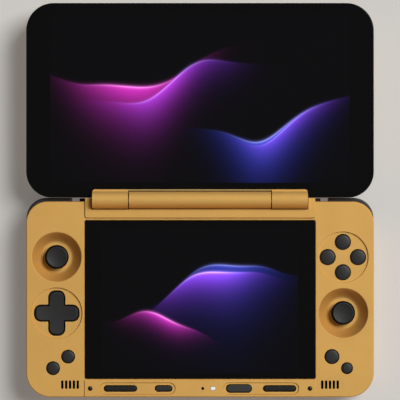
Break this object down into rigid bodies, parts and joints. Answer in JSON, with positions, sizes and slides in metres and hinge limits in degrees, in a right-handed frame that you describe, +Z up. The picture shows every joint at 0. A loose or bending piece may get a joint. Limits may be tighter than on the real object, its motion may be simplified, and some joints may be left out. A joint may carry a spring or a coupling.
{
  "type": "clamshell handheld game console",
  "caption": "Clamshell handheld game console: hinged lid with wide display over a base with square display, thumbsticks, cross pad, buttons, keys, triggers and fan.",
  "frame": {"origin": "on the floor under the feet, straight below the middle of the hinge axis, with the console opened flat", "axes": "+X to the player's right along the hinge axis, +Y from the hinge towards the lid's far edge, +Z up out of the deck"},
  "size_m": [0.18, 0.204, 0.025],
  "materials": {
    "gold_shell": "fine satin with a faint metallic sheen",
    "black_plastic": "fine matt moulding",
    "key_grey": "smooth satin",
    "black_glass": "polished black glass over a display",
    "black_rubber": "matt soft rubber",
    "steel": "turned",
    "alloy": "cast, bead blasted",
    "copper": "bare copper",
    "board": "solder mask",
    "battery_wrap": "foil pouch",
    "display_module": "smooth",
    "lamp": "milky, lit from below"
  },
  "bodies": {
    "base": {"base_front_shell": "gold_shell", "base_rear_shell": "gold_shell", "base_hinge_cover": "gold_shell", "base_display_glass": "black_glass", "base_display_panel": "display_module", "base_frame": "alloy", "main_board": "board", "battery_pack": "battery_wrap", "fan_housing": "black_plastic", "heat_sink": "copper", "rear_vent_panel": "black_plastic", "charging_socket": "steel", "stick_housing_left": "black_plastic", "stick_housing_right": "black_plastic", "rubber_pad_left": "black_rubber", "rubber_pad_right": "black_rubber", "stop_nub_left": "black_rubber", "stop_nub_right": "black_rubber", "status_lamp": "lamp", "speaker_left": "black_plastic", "speaker_right": "black_plastic", "screw_rear_left": "steel", "screw_rear_right": "steel", "screw_front_left": "steel", "screw_front_right": "steel", "foot_rear_left": "black_rubber", "foot_rear_right": "black_rubber", "foot_front_left": "black_rubber", "foot_front_right": "black_rubber", "friction_cartridge_left": "steel", "friction_cartridge_right": "steel", "hinge_flex_roll": "copper"},
    "lid": {"lid_back_cover": "gold_shell", "lid_front_glass": "black_glass", "lid_display_panel": "display_module", "lid_frame": "alloy", "lid_hinge_housing": "gold_shell", "hinge_shaft_left": "steel", "hinge_shaft_right": "steel"},
    "gimbal_left": {"stick_gimbal_left": "steel"},
    "stick_left": {"thumbstick_left": "black_plastic"},
    "gimbal_right": {"stick_gimbal_right": "steel"},
    "stick_right": {"thumbstick_right": "black_plastic"},
    "rocker": {"cross_rocker": "black_rubber"},
    "cross": {"cross_pad": "black_plastic"},
    "button_top": {"face_button_top": "black_plastic"},
    "button_right": {"face_button_right": "black_plastic"},
    "button_bottom": {"face_button_bottom": "black_plastic"},
    "button_left": {"face_button_left": "black_plastic"},
    "small_left_upper": {"small_button_left_upper": "black_plastic"},
    "small_left_lower": {"small_button_left_lower": "black_plastic"},
    "small_right_upper": {"small_button_right_upper": "black_plastic"},
    "small_right_lower": {"small_button_right_lower": "black_plastic"},
    "short_key": {"short_key": "black_plastic"},
    "power_key": {"power_key": "key_grey"},
    "shoulder_left": {"shoulder_button_left": "black_plastic"},
    "shoulder_right": {"shoulder_button_right": "black_plastic"},
    "trigger_left": {"trigger_left": "black_plastic"},
    "trigger_right": {"trigger_right": "black_plastic"},
    "rotor": {"fan_rotor": "black_plastic"}
  },
  "joints": [
    {"name": "lid_hinge", "type": "hinge", "parent": "base", "child": "lid", "pos_m": [0, 0, 0.0206], "axis": [1, 0, 0], "range_deg": [0, 180]},
    {"name": "stick_left_fore", "type": "hinge", "parent": "base", "child": "gimbal_left", "pos_m": [-0.0742, -0.0295, 0.009], "axis": [1, 0, 0], "range_deg": [-12, 12], "stiffness_Nm_per_rad": 0.02},
    {"name": "stick_left_side", "type": "hinge", "parent": "gimbal_left", "child": "stick_left", "pos_m": [-0.0742, -0.0295, 0.009], "axis": [0, 1, 0], "range_deg": [-12, 12], "stiffness_Nm_per_rad": 0.02},
    {"name": "stick_right_fore", "type": "hinge", "parent": "base", "child": "gimbal_right", "pos_m": [0.0742, -0.0585, 0.009], "axis": [1, 0, 0], "range_deg": [-12, 12], "stiffness_Nm_per_rad": 0.02},
    {"name": "stick_right_side", "type": "hinge", "parent": "gimbal_right", "child": "stick_right", "pos_m": [0.0742, -0.0585, 0.009], "axis": [0, 1, 0], "range_deg": [-12, 12], "stiffness_Nm_per_rad": 0.02},
    {"name": "cross_fore", "type": "hinge", "parent": "base", "child": "rocker", "pos_m": [-0.0742, -0.0586, 0.01485], "axis": [1, 0, 0], "range_deg": [-3, 3], "stiffness_Nm_per_rad": 0.02},
    {"name": "cross_side", "type": "hinge", "parent": "rocker", "child": "cross", "pos_m": [-0.0742, -0.0586, 0.01485], "axis": [0, 1, 0], "range_deg": [-3, 3], "stiffness_Nm_per_rad": 0.02},
    {"name": "button_top_press", "type": "slide", "parent": "base", "child": "button_top", "axis": [0, 0, -1], "range_m": [0, 0.0009], "stiffness_N_per_m": 60, "springref_m": -0.001},
    {"name": "button_right_press", "type": "slide", "parent": "base", "child": "button_right", "axis": [0, 0, -1], "range_m": [0, 0.0009], "stiffness_N_per_m": 60, "springref_m": -0.001},
    {"name": "button_bottom_press", "type": "slide", "parent": "base", "child": "button_bottom", "axis": [0, 0, -1], "range_m": [0, 0.0009], "stiffness_N_per_m": 60, "springref_m": -0.001},
    {"name": "button_left_press", "type": "slide", "parent": "base", "child": "button_left", "axis": [0, 0, -1], "range_m": [0, 0.0009], "stiffness_N_per_m": 60, "springref_m": -0.001},
    {"name": "small_left_upper_press", "type": "slide", "parent": "base", "child": "small_left_upper", "axis": [0, 0, -1], "range_m": [0, 0.0007], "stiffness_N_per_m": 60, "springref_m": -0.001},
    {"name": "small_left_lower_press", "type": "slide", "parent": "base", "child": "small_left_lower", "axis": [0, 0, -1], "range_m": [0, 0.0007], "stiffness_N_per_m": 60, "springref_m": -0.001},
    {"name": "small_right_upper_press", "type": "slide", "parent": "base", "child": "small_right_upper", "axis": [0, 0, -1], "range_m": [0, 0.0007], "stiffness_N_per_m": 60, "springref_m": -0.001},
    {"name": "small_right_lower_press", "type": "slide", "parent": "base", "child": "small_right_lower", "axis": [0, 0, -1], "range_m": [0, 0.0007], "stiffness_N_per_m": 60, "springref_m": -0.001},
    {"name": "short_key_press", "type": "slide", "parent": "base", "child": "short_key", "axis": [0, 0, -1], "range_m": [0, 0.0004], "stiffness_N_per_m": 60, "springref_m": -0.001},
    {"name": "power_key_press", "type": "slide", "parent": "base", "child": "power_key", "axis": [0, 0, -1], "range_m": [0, 0.0004], "stiffness_N_per_m": 60, "springref_m": -0.001},
    {"name": "shoulder_left_press", "type": "hinge", "parent": "base", "child": "shoulder_left", "pos_m": [-0.0646, -0.0054, 0.015], "axis": [0, 0, 1], "range_deg": [0, 3.5], "stiffness_Nm_per_rad": 0.3, "springref_deg": -1.72},
    {"name": "shoulder_right_press", "type": "hinge", "parent": "base", "child": "shoulder_right", "pos_m": [0.0646, -0.0054, 0.015], "axis": [0, 0, -1], "range_deg": [0, 3.5], "stiffness_Nm_per_rad": 0.3, "springref_deg": -1.72},
    {"name": "trigger_left_press", "type": "hinge", "parent": "base", "child": "trigger_left", "pos_m": [-0.0646, -0.0054, 0.007], "axis": [0, 0, 1], "range_deg": [0, 5], "stiffness_Nm_per_rad": 0.2, "springref_deg": -1.72},
    {"name": "trigger_right_press", "type": "hinge", "parent": "base", "child": "trigger_right", "pos_m": [0.0646, -0.0054, 0.007], "axis": [0, 0, -1], "range_deg": [0, 5], "stiffness_Nm_per_rad": 0.2, "springref_deg": -1.72},
    {"name": "fan_spin", "type": "hinge", "parent": "base", "child": "rotor", "pos_m": [-0.023, -0.033, 0.007], "axis": [0, 0, 1], "continuous": true}
  ]
}
